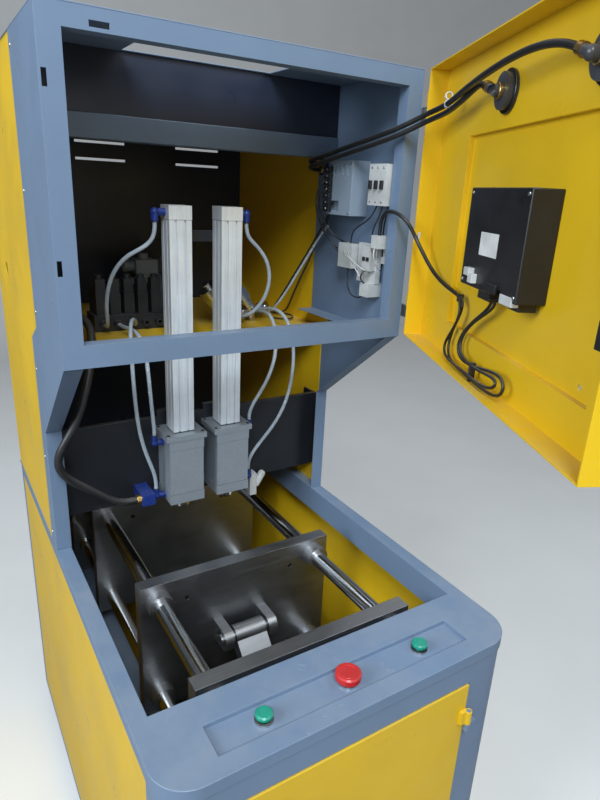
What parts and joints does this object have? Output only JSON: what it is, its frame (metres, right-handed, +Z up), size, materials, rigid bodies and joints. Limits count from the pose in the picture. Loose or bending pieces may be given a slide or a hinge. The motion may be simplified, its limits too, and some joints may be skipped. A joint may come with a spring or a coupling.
{
  "type": "blow moulding machine",
  "caption": "Two-cavity bottle blow moulding machine: cabinet base with toggle clamp, overhanging head with stretch and seal cylinders, hinged control door.",
  "frame": {"origin": "on the floor, at the centre of the four floor anchor holes", "axes": "+Z up; -Y towards the operator; +X to the operator's right"},
  "size_m": [0.6794, 1.366, 1.735],
  "materials": {
    "blue_paint": "satin powder coat",
    "yellow_paint": "satin powder coat",
    "dark_paint": "satin",
    "grey_paint": "satin",
    "drawn_aluminium": "drawn, clear anodised",
    "cast_aluminium": "machined, matt anodised",
    "hard_chrome": "polished",
    "polished_steel": "turned and polished",
    "machined_steel": "ground, lightly oiled",
    "zinc_steel": "zinc plated",
    "shell_paint": "satin",
    "valve_plastic": "moulded",
    "grey_plastic": "moulded",
    "light_plastic": "moulded",
    "blue_plastic": "moulded",
    "clear_tube": "translucent",
    "hose_rubber": "matt",
    "black_plastic": "moulded",
    "gauge_metal": "satin case",
    "green_plastic": "moulded",
    "red_plastic": "moulded"
  },
  "bodies": {
    "root": {"base_cabinet": "blue_paint", "inner_frame": "blue_paint", "table_top": "blue_paint", "control_tray": "blue_paint", "side_frame_left": "blue_paint", "side_frame_right": "blue_paint", "head_front_frame": "blue_paint", "head_roof": "blue_paint", "cross_beam": "blue_paint", "lower_side_panels": "yellow_paint", "rear_panels": "yellow_paint", "side_panels": "yellow_paint", "valve_shelf": "yellow_paint", "foot_plates": "dark_paint", "cylinder_mount_plate": "dark_paint", "barrel_bracket": "dark_paint", "barrel_left": "drawn_aluminium", "barrel_right": "drawn_aluminium", "cylinder_adapters": "cast_aluminium", "seal_block_left": "cast_aluminium", "seal_block_right": "cast_aluminium", "clamp_cylinder": "cast_aluminium", "tie_bars": "hard_chrome", "button_collars": "hard_chrome", "blow_valves": "polished_steel", "end_plates": "machined_steel", "door_hinges": "zinc_steel", "power_supply": "shell_paint", "valve_bank": "valve_plastic", "air_service_unit": "grey_plastic", "rail_units": "light_plastic", "silencer": "light_plastic", "push_fittings": "blue_plastic", "air_tubes": "clear_tube", "blow_hose": "hose_rubber", "gauge_hoses": "hose_rubber", "control_cable": "hose_rubber"},
    "upper_door": {"upper_door": "yellow_paint", "controller_box": "black_plastic", "controller_face": "grey_plastic", "gauge_left": "gauge_metal", "gauge_right": "gauge_metal"},
    "latch_upper": {"latch_upper": "black_plastic"},
    "latch_lower": {"latch_lower": "black_plastic"},
    "front_door": {"front_door": "yellow_paint"},
    "front_door_lock": {"front_door_lock": "black_plastic"},
    "start_button_left": {"start_button_left": "green_plastic"},
    "start_button_right": {"start_button_right": "green_plastic"},
    "stop_button": {"stop_button": "red_plastic"},
    "stretch_rod_left": {"stretch_rod_left": "hard_chrome"},
    "stretch_rod_right": {"stretch_rod_right": "hard_chrome"},
    "seal_nozzle_left": {"seal_nozzle_left": "polished_steel"},
    "seal_nozzle_right": {"seal_nozzle_right": "polished_steel"},
    "crosshead": {"crosshead": "grey_paint"},
    "outer_link_front": {"outer_link_front": "dark_paint"},
    "outer_link_rear": {"outer_link_rear": "dark_paint"},
    "inner_link_front": {"inner_link_front": "machined_steel"},
    "inner_link_rear": {"inner_link_rear": "machined_steel"},
    "platen_front": {"platen_front": "machined_steel"},
    "platen_rear": {"platen_rear": "machined_steel"}
  },
  "joints": [
    {"name": "upper_door_hinge", "type": "hinge", "parent": "root", "child": "upper_door", "pos_m": [0.3355, -0.188, 1.25], "axis": [0, 0, 1], "range_deg": [-64, 46], "deforming": ["gauge_hoses", "control_cable"]},
    {"name": "latch_upper_turn", "type": "hinge", "parent": "upper_door", "child": "latch_upper", "pos_m": [0.07608, -0.77465, 1.644], "axis": [-0.8988, 0.4384, 0], "range_deg": [0, 90]},
    {"name": "latch_lower_turn", "type": "hinge", "parent": "upper_door", "child": "latch_lower", "pos_m": [0.07608, -0.77465, 1.4], "axis": [-0.8988, 0.4384, 0], "range_deg": [0, 90]},
    {"name": "front_door_hinge", "type": "hinge", "parent": "root", "child": "front_door", "pos_m": [0.222, -0.566, 0.166], "axis": [0, 0, 1], "range_deg": [0, 110]},
    {"name": "front_door_lock_turn", "type": "hinge", "parent": "front_door", "child": "front_door_lock", "pos_m": [-0.192, -0.56, 0.4966], "axis": [0, 1, 0], "range_deg": [0, 90]},
    {"name": "start_button_left_press", "type": "slide", "parent": "root", "child": "start_button_left", "axis": [0, 0, -1], "range_m": [0, 0.004], "stiffness_N_per_m": 800, "springref_m": -0.002},
    {"name": "start_button_right_press", "type": "slide", "parent": "root", "child": "start_button_right", "axis": [0, 0, -1], "range_m": [0, 0.004], "stiffness_N_per_m": 800, "springref_m": -0.002},
    {"name": "stop_button_press", "type": "slide", "parent": "root", "child": "stop_button", "axis": [0, 0, -1], "range_m": [0, 0.004]},
    {"name": "stretch_rod_left_slide", "type": "slide", "parent": "root", "child": "stretch_rod_left", "axis": [0, 0, -1], "range_m": [0, 0.3]},
    {"name": "stretch_rod_right_slide", "type": "slide", "parent": "root", "child": "stretch_rod_right", "axis": [0, 0, -1], "range_m": [0, 0.3]},
    {"name": "seal_nozzle_left_slide", "type": "slide", "parent": "root", "child": "seal_nozzle_left", "axis": [0, 0, -1], "range_m": [0, 0.04]},
    {"name": "seal_nozzle_right_slide", "type": "slide", "parent": "root", "child": "seal_nozzle_right", "axis": [0, 0, -1], "range_m": [0, 0.04]},
    {"name": "clamp_lift", "type": "slide", "parent": "root", "child": "crosshead", "axis": [0, 0, 1], "range_m": [0, 0.06055]},
    {"name": "outer_link_front_swing", "type": "hinge", "parent": "root", "child": "outer_link_front", "pos_m": [0, -0.33462, 0.64], "axis": [1, 0, 0], "range_deg": [0, 32.47]},
    {"name": "outer_link_rear_swing", "type": "hinge", "parent": "root", "child": "outer_link_rear", "pos_m": [0, 0.47462, 0.64], "axis": [-1, 0, 0], "range_deg": [0, 32.47]},
    {"name": "inner_link_front_swing", "type": "hinge", "parent": "outer_link_front", "child": "inner_link_front", "pos_m": [0, -0.24681, 0.55387], "axis": [-1, 0, 0], "range_deg": [0, 64.93]},
    {"name": "inner_link_rear_swing", "type": "hinge", "parent": "outer_link_rear", "child": "inner_link_rear", "pos_m": [0, 0.38681, 0.55387], "axis": [1, 0, 0], "range_deg": [0, 64.93]},
    {"name": "platen_front_slide", "type": "slide", "parent": "root", "child": "platen_front", "axis": [0, 1, 0], "range_m": [0, 0.06501]},
    {"name": "platen_rear_slide", "type": "slide", "parent": "root", "child": "platen_rear", "axis": [0, -1, 0], "range_m": [0, 0.06501]}
  ],
  "couplings": [
    {"joint": "outer_link_front_swing", "follows": "clamp_lift", "rad_per_m": 9.3515},
    {"joint": "outer_link_rear_swing", "follows": "clamp_lift", "rad_per_m": 9.3515},
    {"joint": "inner_link_front_swing", "follows": "clamp_lift", "rad_per_m": 18.703},
    {"joint": "inner_link_rear_swing", "follows": "clamp_lift", "rad_per_m": 18.703},
    {"joint": "platen_front_slide", "follows": "clamp_lift", "ratio": 1.0734},
    {"joint": "platen_rear_slide", "follows": "clamp_lift", "ratio": 1.0734}
  ]
}
